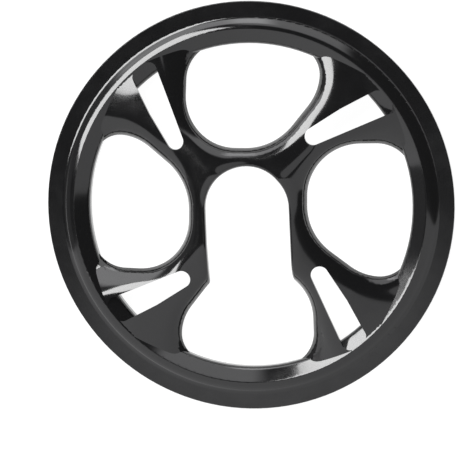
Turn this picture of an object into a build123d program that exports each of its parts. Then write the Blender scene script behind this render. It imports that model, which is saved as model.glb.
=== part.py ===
"""Moulded chain guard for a bicycle crank with a 42-tooth chainring.

One plastic moulding: a flanged ring with a low ridge, four slotted spokes that
stand proud of the ring on round shoulders, and a keyhole that lets the crank arm
through.  The back is hollow, with four bosses for the screws that come through
the chainring.

The ring's axis is +Z, the front faces up, and the seat on the back is z = 0.
"""
import os
from math import asin, cos, degrees, radians, sin, sqrt, tan

from build123d import *

# Ring, lengths in millimetres and angles in degrees
ring_inner_radius = 73.7
slope_run = 6.8           # from the ring's inner wall out to the crest
slope_fall = 3.8          # from the crest down to the inner wall
band_run = 2.5            # round band outside the crest
band_fall = 0.53
foot_run = 2.57           # from the band down to the flange
flange_width = 7.43
chain_clearance = 3.6     # from the seat up to the back of the flange
flange_thickness = 2.2
crest_rise = 3.1          # crest above the flange's front
ring_wall = 2.6           # wall that stands on the chainring
ridge_wall = 2.3          # skin left over the groove behind the ridge
lip_round = 3.0
foot_round = 2.0
band_round = 7.2
crest_round = 0.9
flange_round = 0.6

# Spokes
wall = 2.0
skirt_depth = 4.5         # back edges of the spokes below their faces
apex_rise = 16.1          # meeting point of the spoke faces above the crest
face_fall = 14.5          # tilt of the spoke faces towards the openings
shoulder_run = 24.4       # round shoulder from over a spoke down to the crest
shoulder_radius = 60.0
shoulder_step = 0.25      # foot of the shoulder below the crest
ridge_angle = 42.3        # where two tilted faces meet, along the slots
mouth_round = 8.0         # rolled edge of each opening
mouth_inset = 0.65        # from the ring's inner wall in to the foot of the roll
spoke_count = 4

# Opening between two spokes, drawn at the top of the ring
opening_left = -28.3
opening_floor = 27.2
opening_floor_end = 11.4  # where the floor turns into the long slant
opening_bend = (29.8, 50.8)
opening_lean = 6.2        # right side, out from upright
floor_left_round = 22.4
floor_right_round = 26.0
bend_round = 22.0
top_left_round = 15.0
top_right_round = 11.5

# Slot in each spoke, drawn in the upper right one
slot_inner_reach = 44.5
slot_inner_angle = 47.7
slot_inner_round = 3.9
slot_waist_reach = 60.4    # the slot bulges a little on one side
slot_waist_angle = 43.6
slot_waist_round = 4.0
slot_corner_angles = (36.7, 40.6)
slot_corner_round = 3.5
slot_rim_margin = 0.3     # from the slot's outer end to the crest

# Keyhole for the crank arm
keyhole_radius = 19.0
keyhole_length = 50.0
keyhole_lean = 2.5
keyhole_round = 2.0       # along the front edge and down the corners of the limbs

# Screw bosses on the back
boss_circle_radius = 70.5
boss_angle = 53.5
boss_radius = 3.8
pilot_radius = 1.6
pilot_depth = 6.0

# Sizes that follow
crest_radius = ring_inner_radius + slope_run
band_radius = crest_radius + band_run
foot_radius = band_radius + foot_run
outer_radius = foot_radius + flange_width
flange_front = chain_clearance + flange_thickness
crest_height = flange_front + crest_rise
quarter = 360 / spoke_count
apex_height = crest_height + apex_rise
shoulder_rise = shoulder_radius - sqrt(shoulder_radius**2 - shoulder_run**2)
reach = 2 * outer_radius  # longer than anything that it has to pass through


def polar_point(radius, angle):
    """Point on the XY plane at a radius and an angle."""
    return (radius * cos(radians(angle)), radius * sin(radians(angle)))


def face_plane(drop):
    """Plane of the spoke faces beside the top opening, lowered by drop."""
    facing = ridge_angle + quarter / 2
    return Plane(
        origin=(0, 0, apex_height - drop),
        x_dir=(*polar_point(1, facing - quarter), 0),
        z_dir=(*polar_point(sin(radians(face_fall)), facing), cos(radians(face_fall))),
    )


def opening_outline(grow):
    """Outline of the top opening, with its edge moved out by grow."""
    bend_x, bend_y = opening_bend
    right_top = bend_x + (reach - bend_y) * tan(radians(opening_lean))
    corners = (
        ((opening_left, opening_floor), floor_left_round),
        ((opening_floor_end, opening_floor), floor_right_round),
        (opening_bend, bend_round),
        ((right_top, reach), top_right_round),
        ((opening_left, reach), top_left_round),
    )
    with BuildSketch(Plane.XY.offset(-reach)) as outline:
        with BuildLine():
            Polyline(*(point for point, _ in corners), close=True)
        make_face()
        Circle(ring_inner_radius - mouth_inset, mode=Mode.INTERSECT)
        for point, radius in corners:
            fillet(outline.vertices().sort_by_distance((*point, 0))[0], radius)
        if grow:
            offset(amount=grow)
    return outline.sketch


def spoke_plate(inset):
    """Block under the spoke faces beside the top opening, with the roll round that opening."""
    with BuildPart() as plate:
        with BuildSketch(face_plane(inset)):
            Rectangle(2 * reach, 2 * reach)
        extrude(amount=-reach)
        add(opening_outline(inset))
        extrude(amount=2 * reach, mode=Mode.SUBTRACT)
        face = plate.faces().sort_by(Axis.Z)[-1]
        fillet(face.inner_wires()[0].edges(), mouth_round - inset)
    return plate.part


def slot_outline():
    """Outlines of all four slots."""
    outer_reach = crest_radius - slot_rim_margin - slot_corner_round
    with BuildSketch() as outline:
        for turn in range(spoke_count):
            with BuildSketch(mode=Mode.PRIVATE) as one:
                with Locations(polar_point(slot_inner_reach, slot_inner_angle + turn * quarter)):
                    Circle(slot_inner_round)
                for angle in slot_corner_angles:
                    with Locations(polar_point(outer_reach, angle + turn * quarter)):
                        Circle(slot_corner_round)
                with Locations(polar_point(slot_waist_reach, slot_waist_angle + turn * quarter)):
                    Circle(slot_waist_round)
                make_hull()
            add(one.sketch)
    return outline.sketch


def keyhole_outline(grow):
    """Outline of the keyhole, open downwards, with its edge moved out by grow."""
    with BuildSketch() as outline:
        Circle(keyhole_radius + grow)
        with Locations(Rotation(0, 0, keyhole_lean)):
            width = 2 * (keyhole_radius + grow)
            Rectangle(width, keyhole_length, align=(Align.CENTER, Align.MAX))
    return outline.sketch


def pierced_plate(plate, turn):
    """Plate turned to its own opening, with the keyhole cut through it and its edge rounded."""
    keyhole = keyhole_outline(0)
    with BuildPart() as pierced:
        add(plate.rotate(Axis.Z, turn * quarter))
        add(keyhole)
        extrude(amount=reach, both=True, mode=Mode.SUBTRACT)
        rim = []
        for edge in pierced.edges().filter_by_position(Axis.Z, 0, reach):
            middle = edge @ 0.5
            if keyhole.wire().distance_to(Vector(middle.X, middle.Y, 0)) < 0.01:
                rim.append(edge)
        fillet(ShapeList(rim).filter_by(Axis.Z, reverse=True), keyhole_round)
    return pierced.part


def shoulder_cap(drop):
    """Round block with the shoulder that falls to the ring's crest, lowered by drop."""
    foot = crest_height - shoulder_step - drop
    top = (crest_radius - shoulder_run, foot + shoulder_rise)
    with BuildPart() as cap:
        with BuildSketch(Plane.XZ):
            with BuildLine():
                shoulder = JernArc(top, (1, 0), shoulder_radius, -degrees(asin(shoulder_run / shoulder_radius)))
                Polyline(shoulder @ 1, (crest_radius, 0), (0, 0), (0, reach), (top[0], reach), top)
            make_face()
        revolve(axis=Axis.Z)
    return cap.part


def underside():
    """Pyramid below the back edges of the spokes."""
    with BuildPart() as block:
        with BuildSketch(face_plane(skirt_depth)):
            Rectangle(2 * reach, 2 * reach)
        extrude(amount=-reach)
    with BuildPart() as pyramid:
        add(block.part)
        for turn in range(1, spoke_count):
            add(block.part.rotate(Axis.Z, turn * quarter), mode=Mode.INTERSECT)
    return pyramid.part


def boss_places():
    """Centres of the screw bosses on the seat plane."""
    return PolarLocations(boss_circle_radius, spoke_count, start_angle=boss_angle)


# Hollows behind the spokes: walls stay round the openings and the keyhole
with BuildPart() as hollow:
    Cylinder(ring_inner_radius + ring_wall / 2, reach)
    add(shoulder_cap(wall), mode=Mode.INTERSECT)
    inner_plate = spoke_plate(wall)
    for turn in range(spoke_count):
        add(inner_plate.rotate(Axis.Z, turn * quarter), mode=Mode.INTERSECT)
    add(keyhole_outline(wall))
    extrude(amount=reach, both=True, mode=Mode.SUBTRACT)
    with boss_places():
        Cylinder(boss_radius, 2 * reach, mode=Mode.SUBTRACT)

# Groove behind the ring's ridge
with BuildPart() as groove:
    inner = ring_inner_radius + ring_wall
    with BuildSketch(Plane.XZ):
        with BuildLine():
            Polyline(
                (inner, 0),
                (inner, crest_height - slope_fall - ridge_wall + ring_wall * slope_fall / slope_run),
                (crest_radius, crest_height - ridge_wall),
                (band_radius - ridge_wall / 2, crest_height - ridge_wall),
                (foot_radius - ridge_wall, chain_clearance),
                (foot_radius - ridge_wall, 0),
                close=True,
            )
        make_face()
    revolve(axis=Axis.Z)

with BuildPart() as chain_guard:
    # Spokes and hub
    add(shoulder_cap(0))
    add(underside(), mode=Mode.SUBTRACT)
    outer_plate = spoke_plate(0)
    for turn in range(spoke_count):
        add(pierced_plate(outer_plate, turn), mode=Mode.INTERSECT)
    add(slot_outline())
    extrude(amount=reach, mode=Mode.SUBTRACT)
    add(hollow.part, mode=Mode.SUBTRACT)

    # Ring with its flange
    corners = (
        ((ring_inner_radius, 0), 0),
        ((ring_inner_radius + ring_wall, 0), 0),
        ((ring_inner_radius + ring_wall, chain_clearance), 0),
        ((outer_radius, chain_clearance), 0),
        ((outer_radius, flange_front), flange_round),
        ((foot_radius, flange_front), foot_round),
        ((band_radius, crest_height - band_fall), band_round),
        ((crest_radius, crest_height), crest_round),
        ((ring_inner_radius, crest_height - slope_fall), lip_round),
    )
    with BuildSketch(Plane.XZ) as section:
        with BuildLine():
            Polyline(*(point for point, _ in corners), close=True)
        make_face()
        for point, radius in corners:
            if radius:
                fillet(section.vertices().sort_by_distance((*point, 0))[0], radius)
    revolve(axis=Axis.Z)
    add(groove.part, mode=Mode.SUBTRACT)

    # Screw bosses with blind pilot holes
    with boss_places():
        Cylinder(boss_radius, pilot_depth, align=(Align.CENTER, Align.CENTER, Align.MIN))
        Cylinder(pilot_radius, pilot_depth, align=(Align.CENTER, Align.CENTER, Align.MIN), mode=Mode.SUBTRACT)

chain_guard.part.label = "chain_guard"
os.makedirs("parts", exist_ok=True)
export_step(chain_guard.part, "parts/chain_guard.step")
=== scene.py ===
"""Looks, stage and camera for a moulded bicycle chain guard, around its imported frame."""
import math

import bmesh
import bpy
from mathutils import Matrix, Vector
from mathutils.kdtree import KDTree


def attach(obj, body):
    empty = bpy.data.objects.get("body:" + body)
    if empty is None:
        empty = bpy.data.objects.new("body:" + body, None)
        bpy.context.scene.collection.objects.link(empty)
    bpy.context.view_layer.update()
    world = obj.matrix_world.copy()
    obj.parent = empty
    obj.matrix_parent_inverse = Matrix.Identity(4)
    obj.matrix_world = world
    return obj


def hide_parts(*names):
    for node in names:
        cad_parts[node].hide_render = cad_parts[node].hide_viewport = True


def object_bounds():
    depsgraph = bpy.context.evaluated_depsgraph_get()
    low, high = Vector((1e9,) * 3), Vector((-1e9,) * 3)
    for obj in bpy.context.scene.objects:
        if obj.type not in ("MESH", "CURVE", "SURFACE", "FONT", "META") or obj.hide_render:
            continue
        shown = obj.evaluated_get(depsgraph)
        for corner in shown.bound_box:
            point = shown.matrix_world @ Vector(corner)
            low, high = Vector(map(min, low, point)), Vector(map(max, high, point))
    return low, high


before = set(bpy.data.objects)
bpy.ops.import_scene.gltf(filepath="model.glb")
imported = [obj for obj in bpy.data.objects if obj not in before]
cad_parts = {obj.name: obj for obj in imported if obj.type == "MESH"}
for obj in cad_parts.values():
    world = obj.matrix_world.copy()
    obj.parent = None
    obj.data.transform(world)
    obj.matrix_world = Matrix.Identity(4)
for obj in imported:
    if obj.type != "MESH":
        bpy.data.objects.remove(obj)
CAD_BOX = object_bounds()

bl_info = {
    "name": "Chain Guard",
    "version": (1, 0, 0),
    "blender": (4, 5, 0),
    "location": "3D View > Sidebar > Chain Guard",
    "description": "Gloss-black chain guard moulding with its stage",
    "category": "Object",
}

SPOKES = 4

# Fine mesh of the front, with normals given by their upward part
REFINE_ROUNDS = 9
FRONT_RISE = 0.5         # beside the edges that are divided
EVEN_RISE = 0.8          # where the triangles are evened out
EVEN_SEAM = 0.01         # and the largest turn across their edges, in radians

# Limbs between a slot and the opening beside it, in metres
LIMB_SLACK = 0.0005      # past the slot's side
LIMB_WIDTH = 0.0145
LIMB_LENGTH = 0.05
CROWN_LEAD = 0.003       # the crown starts this far inside the slot's inner end
CROWN_RUN = 0.018        # and is full after this length
FALL_START = 0.028
FALL_RUN = 0.012

# Ring, with leans given by the outward part of the normals
SLOPE_LEAN = -0.25       # the ring's slope leans in by at least this
PROFILE_LEAN = -0.2      # the same inside the crest, where the profile is read
PROFILE_RISE = 0.2
PROFILE_TWIST = 0.05
PROFILE_STEP = 1e-4      # radius between two readings, in metres
PROFILE_BLUR = 2         # readings on each side that are averaged

# Plastic
HAZE_NOISE = (0.35, 0.7)
DUST_NOISE = (0.6, 0.74)
DUST_SHARE = 0.25
RIPPLE_HEIGHT = 4e-6     # in metres

# Floor and room, with strengths of light and places given by unit directions
FLOOR_GREY = 0.2
FLOOR_GLOW = 0.95
ROOM_TINT = (0.985, 0.985, 1.0, 1.0)
ROOM_SHINE = 0.09
WALL_SHINE = 0.66
WALL_BEND = 0.168        # curve and slant of the wall's far edge
WALL_SLANT = -0.067
WALL_EDGE = (-0.122, -0.102)  # where the wall starts to fade and where it is gone
WALL_SIDES = (-0.6, 0.5)
WALL_FADE = (1.1, 0.9)   # the wall's shares at its left and right sides
CEILING_SHINE = 0.6
CEILING_WAY = (0.115, 0.145, 0.983)  # towards the middle of the patch
CEILING_EDGE = (0.973, 0.979)  # cosines at its soft border
CARD_SOFT = 8.0          # soft border of the cards, in degrees
CARDS = (                # sides counter-clockwise from +Y, angles off the zenith, strength
    ((5.0, 52.0), (62.0, 80.0), 2.0),
    ((-24.0, 10.0), (47.0, 84.0), 1.2),
    ((60.0, 110.0), (62.0, 88.0), 0.12),
)
CAMERA_SENSOR = 36.0     # in millimetres
CAMERA_CLIP = (0.05, 50.0)


class GuardFinish(bpy.types.PropertyGroup):
    """Colours, gloss and shading of the gloss-black moulding."""

    colour: bpy.props.FloatVectorProperty(
        name="Plastic", description="Colour of the moulding", subtype="COLOR",
        size=4, min=0.0, max=1.0, default=(0.003, 0.003, 0.0033, 1.0),
    )
    dust_colour: bpy.props.FloatVectorProperty(
        name="Dust", description="Colour of the fine dust that lies on the plastic", subtype="COLOR",
        size=4, min=0.0, max=1.0, default=(0.05, 0.05, 0.052, 1.0),
    )
    polish: bpy.props.FloatProperty(
        name="Polish", description="Roughness of the clear skin", default=0.05, min=0.0, max=1.0,
    )
    gloss: bpy.props.FloatProperty(
        name="Gloss", description="Roughness where the mould was polished best",
        default=0.09, min=0.0, max=1.0,
    )
    haze: bpy.props.FloatProperty(
        name="Haze", description="Roughness in the hazier patches", default=0.15, min=0.0, max=1.0,
    )
    crease: bpy.props.FloatProperty(
        name="Crease", description="Edges that turn by more than this stay crisp", subtype="ANGLE",
        default=math.radians(24.0),
    )
    flow_reach: bpy.props.FloatProperty(
        name="Flow reach", description="Radius out to which the faces flow", unit="LENGTH",
        default=0.081, precision=4,
    )
    ring_start: bpy.props.FloatProperty(
        name="Ring start", description="Inner radius of the ring's slope", unit="LENGTH",
        default=0.0725, precision=4,
    )
    crest: bpy.props.FloatProperty(
        name="Crest", description="Radius just inside the ring's crest", unit="LENGTH",
        default=0.0798, precision=4,
    )
    flow_steep: bpy.props.FloatProperty(
        name="Flow steep", description="Upward part of the steepest normals that flow", default=0.75,
    )
    flow_gentle: bpy.props.FloatProperty(
        name="Flow gentle", description="Upward part of the normals that flow freely", default=0.93,
    )
    flow_width: bpy.props.FloatProperty(
        name="Flow width", description="How far the shading of the faces flows", unit="LENGTH",
        default=0.002, precision=4,
    )
    flow_growth: bpy.props.FloatProperty(
        name="Flow growth", description="Share by which the flow widens towards the ring", default=0.8,
    )
    growth_start: bpy.props.FloatProperty(
        name="Growth start", description="Radius at which the flow starts to widen", unit="LENGTH",
        default=0.06, precision=4,
    )
    growth_run: bpy.props.FloatProperty(
        name="Growth run", description="Further radius over which it widens", unit="LENGTH",
        default=0.016, precision=4,
    )
    flow_cut: bpy.props.FloatProperty(
        name="Flow cut", description="Flow widths beyond which faces are left out", default=2.2,
    )
    limb_start: bpy.props.FloatVectorProperty(
        name="Limb start", description="Inner end of the slot's side beside the top opening", size=2,
        unit="LENGTH", default=(-0.0295, 0.0313), precision=4,
    )
    limb_end: bpy.props.FloatVectorProperty(
        name="Limb end", description="Outer end of that side", size=2, unit="LENGTH",
        default=(-0.0425, 0.0629), precision=4,
    )
    crown_lean: bpy.props.FloatProperty(
        name="Crown lean", description="Lean of the limb's face at the slot", subtype="ANGLE",
        default=math.radians(1.5),
    )
    crown_rate: bpy.props.FloatProperty(
        name="Crown rate", description="Radians of lean gained in a metre across the limb",
        default=math.radians(4000.0),
    )
    crown_most: bpy.props.FloatProperty(
        name="Crown most", description="Largest lean of the limb's face", subtype="ANGLE",
        default=math.radians(26.0),
    )
    limb_fall: bpy.props.FloatProperty(
        name="Limb fall", description="Lean of the limb towards the ring at its outer end", subtype="ANGLE",
        default=math.radians(5.5),
    )
    grain: bpy.props.FloatProperty(
        name="Grain", description="Longest edge on the faces that flow", unit="LENGTH",
        default=0.0016, precision=4,
    )
    seam: bpy.props.FloatProperty(
        name="Seam", description="Vertices nearer than this are joined", unit="LENGTH",
        default=2e-6, precision=6,
    )


class GuardStage(bpy.types.PropertyGroup):
    """Camera, floor and light around the guard."""

    camera_tilt: bpy.props.FloatProperty(
        name="Camera tilt", description="Camera's angle from straight above", subtype="ANGLE",
        default=math.radians(10.0),
    )
    camera_side: bpy.props.FloatProperty(
        name="Camera side", description="Direction that the camera leans to", subtype="ANGLE",
        default=math.radians(40.0),
    )
    camera_distance: bpy.props.FloatProperty(
        name="Camera distance", description="From the aim to the camera", unit="LENGTH", default=2.5,
    )
    camera_aim: bpy.props.FloatVectorProperty(
        name="Camera aim", description="Point in the middle of the picture", subtype="TRANSLATION",
        default=(-0.00692, -0.01347, 0.006),
    )
    focal_length: bpy.props.FloatProperty(
        name="Focal length", description="On a sensor 36 mm wide", unit="CAMERA", default=421.9, min=1.0,
    )
    floor_size: bpy.props.FloatProperty(
        name="Floor", description="Side of the square floor", unit="LENGTH", default=8.0,
    )
    key_off: bpy.props.FloatProperty(
        name="Key off", description="Key light's angle from straight above", subtype="ANGLE",
        default=math.radians(44.5),
    )
    key_side: bpy.props.FloatProperty(
        name="Key side", description="Direction that the key light comes from", subtype="ANGLE",
        default=math.radians(145.0),
    )
    key_distance: bpy.props.FloatProperty(
        name="Key distance", description="From the guard to the key light", unit="LENGTH", default=2.0,
    )
    key_width: bpy.props.FloatProperty(
        name="Key width", description="Width of the key light", unit="LENGTH", default=1.52,
    )
    key_height: bpy.props.FloatProperty(
        name="Key height", description="Height of the key light", unit="LENGTH", default=0.92,
    )
    key_shine: bpy.props.FloatProperty(
        name="Key shine", description="Brightness of the key light's face", default=8.8, min=0.0,
    )


def clamp(value):
    """Value kept between nought and one."""
    return min(max(value, 0.0), 1.0)


def way_to(off, side):
    """Unit vector at an angle off the zenith and a direction."""
    return Vector((math.sin(off) * math.cos(side), math.sin(off) * math.sin(side), math.cos(off)))


def calculate(tree, operation, *terms):
    """Math node over sockets and plain numbers."""
    node = tree.nodes.new("ShaderNodeMath")
    node.operation = operation
    for slot, term in zip(node.inputs, terms):
        if isinstance(term, (int, float)):
            slot.default_value = term
        else:
            tree.links.new(term, slot)
    return node.outputs["Value"]


def soft_step(tree, value, start, end, low=0.0, high=1.0):
    """Smooth change from low to high while the value goes from start to end."""
    node = tree.nodes.new("ShaderNodeMapRange")
    node.interpolation_type = "SMOOTHSTEP"
    tree.links.new(value, node.inputs["Value"])
    for name, number in zip(("From Min", "From Max", "To Min", "To Max"), (start, end, low, high)):
        node.inputs[name].default_value = number
    return node.outputs["Result"]


def gloss_plastic(finish):
    """Polished black plastic with faint moulding ripple, hazy patches and a little dust."""
    material = bpy.data.materials.new("gloss_black_plastic")
    material.use_nodes = True
    tree = material.node_tree
    shader = tree.nodes["Principled BSDF"]
    shader.inputs["IOR"].default_value = 1.6
    shader.inputs["Coat Weight"].default_value = 0.5
    shader.inputs["Coat Roughness"].default_value = finish.polish
    place = tree.nodes.new("ShaderNodeTexCoord").outputs["Object"]

    def noise(scale, detail, rough):
        node = tree.nodes.new("ShaderNodeTexNoise")
        node.inputs["Scale"].default_value = scale
        node.inputs["Detail"].default_value = detail
        node.inputs["Roughness"].default_value = rough
        tree.links.new(place, node.inputs["Vector"])
        return node.outputs["Fac"]

    patches = noise(scale=70.0, detail=4.0, rough=0.6)
    hazy = soft_step(tree, patches, *HAZE_NOISE, finish.gloss, finish.haze)
    tree.links.new(hazy, shader.inputs["Roughness"])

    dust = tree.nodes.new("ShaderNodeMix")
    dust.data_type = "RGBA"
    dust.inputs["A"].default_value = finish.colour
    dust.inputs["B"].default_value = finish.dust_colour
    specks = noise(scale=2600.0, detail=2.0, rough=0.5)
    tree.links.new(soft_step(tree, specks, *DUST_NOISE, 0.0, DUST_SHARE), dust.inputs["Factor"])
    tree.links.new(dust.outputs["Result"], shader.inputs["Base Color"])

    ripple = tree.nodes.new("ShaderNodeBump")
    ripple.inputs["Strength"].default_value = 1.0
    ripple.inputs["Distance"].default_value = RIPPLE_HEIGHT
    tree.links.new(noise(scale=160.0, detail=1.0, rough=0.4), ripple.inputs["Height"])
    for skin in ("Normal", "Coat Normal"):
        tree.links.new(ripple.outputs["Normal"], shader.inputs[skin])
    return material


class GUARD_OT_moulding(bpy.types.Operator):
    """Make the moulding from the guard's solid, with smooth shading and its plastic"""

    bl_idname = "guard.moulding"
    bl_label = "Moulding"

    def execute(self, context):
        finish = context.scene.guard_finish
        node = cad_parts["chain_guard"]
        shape = bmesh.new()
        shape.from_mesh(node.data)
        bmesh.ops.remove_doubles(shape, verts=shape.verts, dist=finish.seam)
        bmesh.ops.dissolve_degenerate(shape, edges=shape.edges, dist=finish.seam)
        self.refine(shape, finish)
        for face in shape.faces:
            face.smooth = True
        for edge in shape.edges:
            edge.smooth = edge.is_manifold and edge.calc_face_angle() < finish.crease
        mesh = bpy.data.meshes.new("moulding")
        shape.to_mesh(mesh)
        shape.free()
        moulding = bpy.data.objects.new("moulding", mesh)
        context.scene.collection.objects.link(moulding)
        normals = moulding.modifiers.new("Smooth faces", "WEIGHTED_NORMAL")
        normals.keep_sharp = True
        context.view_layer.update()
        smooth = moulding.evaluated_get(context.evaluated_depsgraph_get())
        moulding.data = bpy.data.meshes.new_from_object(smooth)
        moulding.modifiers.clear()
        bpy.data.meshes.remove(mesh)
        moulding.data.name = "moulding"
        self.flow(moulding.data, finish)
        moulding.data.materials.append(gloss_plastic(finish))
        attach(moulding, "root")
        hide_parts("chain_guard")
        return {"FINISHED"}

    def refine(self, shape, finish):
        """Divide the large triangles of the front, so that its shading can flow."""

        def inside(vert):
            return vert.co.xy.length < finish.flow_reach

        for _ in range(REFINE_ROUNDS):
            shape.normal_update()
            long = [
                edge for edge in shape.edges
                if edge.calc_length() > finish.grain and all(map(inside, edge.verts))
                and any(face.normal.z > FRONT_RISE for face in edge.link_faces)
            ]
            if not long:
                break
            bmesh.ops.subdivide_edges(shape, edges=long, cuts=1)
            bmesh.ops.triangulate(shape, faces=[face for face in shape.faces if len(face.verts) > 3])
            shape.normal_update()
            front = [
                face for face in shape.faces
                if face.normal.z > EVEN_RISE and all(map(inside, face.verts))
            ]
            seams = {
                edge for face in front for edge in face.edges
                if edge.is_manifold and edge.calc_face_angle() < EVEN_SEAM
            }
            bmesh.ops.beautify_fill(shape, faces=front, edges=list(seams))

    def flow(self, mesh, finish):
        """Let the shading of the spoke faces flow gently into their rolled edges."""
        front = []
        for face in mesh.polygons:
            out = face.center.xy
            lean = face.normal.xy.dot(out.normalized())
            on_ring = out.length > finish.ring_start and lean < SLOPE_LEAN
            if face.normal.z > finish.flow_steep and out.length < finish.flow_reach and not on_ring:
                front.append(face)
        pulls = [face.normal * face.area for face in front]
        near = KDTree(len(front))
        for index, face in enumerate(front):
            near.insert(face.center, index)
        near.balance()
        normals = [corner.vector.copy() for corner in mesh.corner_normals]
        blurred = {}
        for face in front:
            for corner in face.loop_indices:
                vert = mesh.loops[corner].vertex_index
                if vert not in blurred:
                    total = Vector()
                    place = mesh.vertices[vert].co
                    outer = clamp((place.xy.length - finish.growth_start) / finish.growth_run)
                    width = finish.flow_width * (1.0 + finish.flow_growth * outer)
                    for _, index, far in near.find_range(place, finish.flow_cut * width):
                        total += pulls[index] * math.exp(-0.5 * (far / width) ** 2)
                    blurred[vert] = (total.normalized() + self.crown(place, finish)).normalized()
                share = (normals[corner].z - finish.flow_steep) / (finish.flow_gentle - finish.flow_steep)
                normals[corner] = normals[corner].lerp(blurred[vert], clamp(share)).normalized()
        self.turn(mesh, finish, normals)
        mesh.normals_split_custom_set(normals)

    def crown(self, place, finish):
        """Extra lean on the limbs, towards the opening and at their outer ends towards the ring."""
        start = Vector(finish.limb_start)
        along = (Vector(finish.limb_end) - start).normalized()
        across = Vector((along.y, -along.x))
        lean = Vector((0.0, 0.0, 0.0))
        for turn in range(SPOKES):
            turned = Matrix.Rotation(turn * math.tau / SPOKES, 2)
            spot = turned.transposed() @ place.xy - start
            inward, outward = spot.dot(across), spot.dot(along)
            if -LIMB_SLACK < inward < LIMB_WIDTH and -CROWN_LEAD < outward < LIMB_LENGTH:
                share = clamp((outward + CROWN_LEAD) / CROWN_RUN)
                angle = min(finish.crown_lean + finish.crown_rate * inward, finish.crown_most)
                fall = clamp((outward - FALL_START) / FALL_RUN) * finish.limb_fall
                lean += (turned @ (across * math.tan(angle) * share + along * math.tan(fall))).to_3d()
        return lean

    def turn(self, mesh, finish, normals):
        """Give the ring the even shading of a turned form, from its profile."""
        ring = []
        readings = int(CAD_BOX[1][0] / PROFILE_STEP) + 2 * PROFILE_BLUR
        profile = [Vector((0.0, 0.0)) for _ in range(readings)]
        for face in mesh.polygons:
            out = face.center.xy
            lean = face.normal.xy.dot(out.normalized())
            twist = face.normal.xy.cross(out.normalized())
            spoke = out.length < finish.crest and lean > PROFILE_LEAN
            if out.length < finish.ring_start or face.normal.z < PROFILE_RISE:
                continue
            if spoke or abs(twist) > PROFILE_TWIST:
                continue
            ring.append(face)
            reach = [mesh.vertices[vert].co.xy.length for vert in face.vertices]
            span = max(reach) - min(reach)
            for slot in range(int(min(reach) / PROFILE_STEP), int(max(reach) / PROFILE_STEP) + 1):
                profile[slot] += Vector((lean, face.normal.z)) * face.area * span
        for face in ring:
            for corner, vert in zip(face.loop_indices, face.vertices):
                out = mesh.vertices[vert].co.xy
                slot = int(out.length / PROFILE_STEP)
                nearby = profile[slot - PROFILE_BLUR:slot + PROFILE_BLUR + 1]
                lean, rise = sum(nearby, Vector((0.0, 0.0))).normalized()
                normals[corner] = Vector((*(out.normalized() * lean), rise))


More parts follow.
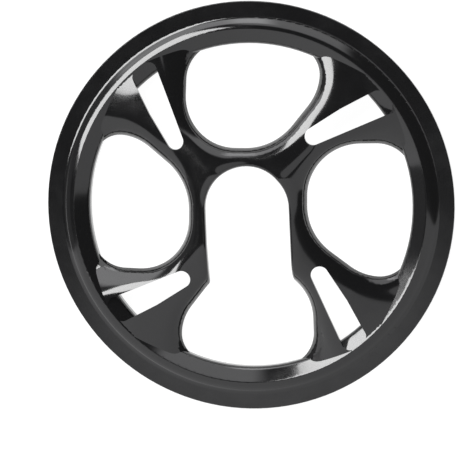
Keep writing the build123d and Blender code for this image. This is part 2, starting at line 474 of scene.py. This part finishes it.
class GUARD_OT_stage(bpy.types.Operator):
    """Lay the floor, hang the lights and set the camera"""

    bl_idname = "guard.stage"
    bl_label = "Stage"

    def execute(self, context):
        stage = context.scene.guard_stage
        self.lay_floor(context.scene, stage)
        self.light_room(context.scene)
        self.hang_key(context.scene, stage)
        self.set_camera(context.scene, stage)
        return {"FINISHED"}

    def lay_floor(self, scene, stage):
        """White floor that keeps the guard's shadow."""
        shape = bmesh.new()
        bmesh.ops.create_grid(shape, x_segments=1, y_segments=1, size=stage.floor_size / 2)
        mesh = bpy.data.meshes.new("floor")
        shape.to_mesh(mesh)
        shape.free()
        floor = bpy.data.objects.new("floor", mesh)
        scene.collection.objects.link(floor)
        material = bpy.data.materials.new("white_floor")
        material.use_nodes = True
        tree = material.node_tree
        tree.nodes.clear()
        matt = tree.nodes.new("ShaderNodeBsdfDiffuse")
        matt.inputs["Color"].default_value = (FLOOR_GREY, FLOOR_GREY, FLOOR_GREY, 1.0)
        path = tree.nodes.new("ShaderNodeLightPath").outputs
        mirrored = calculate(tree, "MAXIMUM", path["Is Glossy Ray"], path["Is Transmission Ray"])
        seen = calculate(tree, "MAXIMUM", path["Is Camera Ray"], mirrored)
        glow = tree.nodes.new("ShaderNodeEmission")
        tree.links.new(calculate(tree, "MULTIPLY", seen, FLOOR_GLOW), glow.inputs["Strength"])
        both = tree.nodes.new("ShaderNodeAddShader")
        tree.links.new(matt.outputs["BSDF"], both.inputs[0])
        tree.links.new(glow.outputs["Emission"], both.inputs[1])
        out = tree.nodes.new("ShaderNodeOutputMaterial")
        tree.links.new(both.outputs["Shader"], out.inputs["Surface"])
        mesh.materials.append(material)

    def light_room(self, scene):
        """Dim room for the plastic to mirror: a pale near wall, a patch of ceiling and soft cards."""
        world = bpy.data.worlds.new("room")
        scene.world = world
        world.use_nodes = True
        tree = world.node_tree
        tree.nodes.clear()
        way = tree.nodes.new("ShaderNodeTexCoord").outputs["Generated"]
        split = tree.nodes.new("ShaderNodeSeparateXYZ")
        tree.links.new(way, split.inputs["Vector"])
        x, y, z = split.outputs

        bend = calculate(tree, "MULTIPLY", calculate(tree, "MULTIPLY", x, x), WALL_BEND)
        slant = calculate(tree, "MULTIPLY", x, WALL_SLANT)
        rise = calculate(tree, "ADD", calculate(tree, "ADD", y, bend), slant)
        wall = calculate(
            tree, "MULTIPLY", soft_step(tree, rise, *WALL_EDGE, WALL_SHINE, 0.0),
            soft_step(tree, x, *WALL_SIDES, *WALL_FADE),
        )
        shine = calculate(tree, "ADD", wall, ROOM_SHINE)

        side = calculate(tree, "ARCTAN2", calculate(tree, "MULTIPLY", x, -1.0), y)
        side = calculate(tree, "DEGREES", side)
        off = calculate(tree, "DEGREES", calculate(tree, "ARCCOSINE", z))
        for sides, offs, strength in CARDS:
            card = strength
            for angle, (low, high) in ((side, sides), (off, offs)):
                starts = soft_step(tree, angle, low - CARD_SOFT, low)
                ends = soft_step(tree, angle, high, high + CARD_SOFT, 1.0, 0.0)
                card = calculate(tree, "MULTIPLY", calculate(tree, "MULTIPLY", starts, card), ends)
            shine = calculate(tree, "ADD", shine, card)

        near = tree.nodes.new("ShaderNodeVectorMath")
        near.operation = "DOT_PRODUCT"
        tree.links.new(way, near.inputs[0])
        near.inputs[1].default_value = CEILING_WAY
        ceiling = soft_step(tree, near.outputs["Value"], *CEILING_EDGE, 0.0, CEILING_SHINE)
        shine = calculate(tree, "ADD", shine, ceiling)

        path = tree.nodes.new("ShaderNodeLightPath")
        white = tree.nodes.new("ShaderNodeMix")
        tree.links.new(path.outputs["Is Camera Ray"], white.inputs["Factor"])
        tree.links.new(shine, white.inputs["A"])
        white.inputs["B"].default_value = 1.0
        sky = tree.nodes.new("ShaderNodeBackground")
        sky.inputs["Color"].default_value = ROOM_TINT
        tree.links.new(white.outputs["Result"], sky.inputs["Strength"])
        out = tree.nodes.new("ShaderNodeOutputWorld")
        tree.links.new(sky.outputs["Background"], out.inputs["Surface"])

    def hang_key(self, scene, stage):
        """Large soft light at the upper left, turned to the guard."""
        lamp = bpy.data.lights.new("key", "AREA")
        lamp.shape = "RECTANGLE"
        lamp.size, lamp.size_y = stage.key_width, stage.key_height
        lamp.energy = stage.key_shine * math.pi * stage.key_width * stage.key_height
        key = bpy.data.objects.new("key", lamp)
        scene.collection.objects.link(key)
        way = way_to(stage.key_off, stage.key_side)
        key.location = way * stage.key_distance
        key.rotation_euler = way.to_track_quat("Z", "Y").to_euler()
        key.visible_camera = False

    def set_camera(self, scene, stage):
        """Camera that looks down on the guard, with +Y up in the picture."""
        back = way_to(stage.camera_tilt, stage.camera_side)
        right = Vector((0.0, 1.0, 0.0)).cross(back).normalized()
        upward = back.cross(right)
        lens = bpy.data.cameras.new("camera")
        lens.sensor_width = CAMERA_SENSOR
        lens.lens = stage.focal_length
        lens.clip_start, lens.clip_end = CAMERA_CLIP
        camera = bpy.data.objects.new("camera", lens)
        scene.collection.objects.link(camera)
        turned = Matrix((right, upward, back)).transposed().to_4x4()
        stand = Vector(stage.camera_aim) + back * stage.camera_distance
        camera.matrix_world = Matrix.Translation(stand) @ turned
        scene.camera = camera
        scene.view_settings.view_transform = "Standard"


class GUARD_PT_panel(bpy.types.Panel):
    """Sizes, colours and steps of the chain guard"""

    bl_idname = "GUARD_PT_panel"
    bl_label = "Chain Guard"
    bl_space_type = "VIEW_3D"
    bl_region_type = "UI"
    bl_category = "Chain Guard"

    def draw(self, context):
        for group in (context.scene.guard_finish, context.scene.guard_stage):
            box = self.layout.box()
            for name in group.__annotations__:
                box.prop(group, name)
        for step in STEPS:
            self.layout.operator(step.bl_idname)


STEPS = (GUARD_OT_moulding, GUARD_OT_stage)
CLASSES = (GuardFinish, GuardStage, *STEPS, GUARD_PT_panel)


def register():
    for each in CLASSES:
        bpy.utils.register_class(each)
    bpy.types.Scene.guard_finish = bpy.props.PointerProperty(type=GuardFinish)
    bpy.types.Scene.guard_stage = bpy.props.PointerProperty(type=GuardStage)


def unregister():
    del bpy.types.Scene.guard_stage
    del bpy.types.Scene.guard_finish
    for each in reversed(CLASSES):
        bpy.utils.unregister_class(each)


def main():
    register()
    bpy.ops.guard.moulding()
    bpy.ops.guard.stage()


if __name__ == "__main__":
    main()
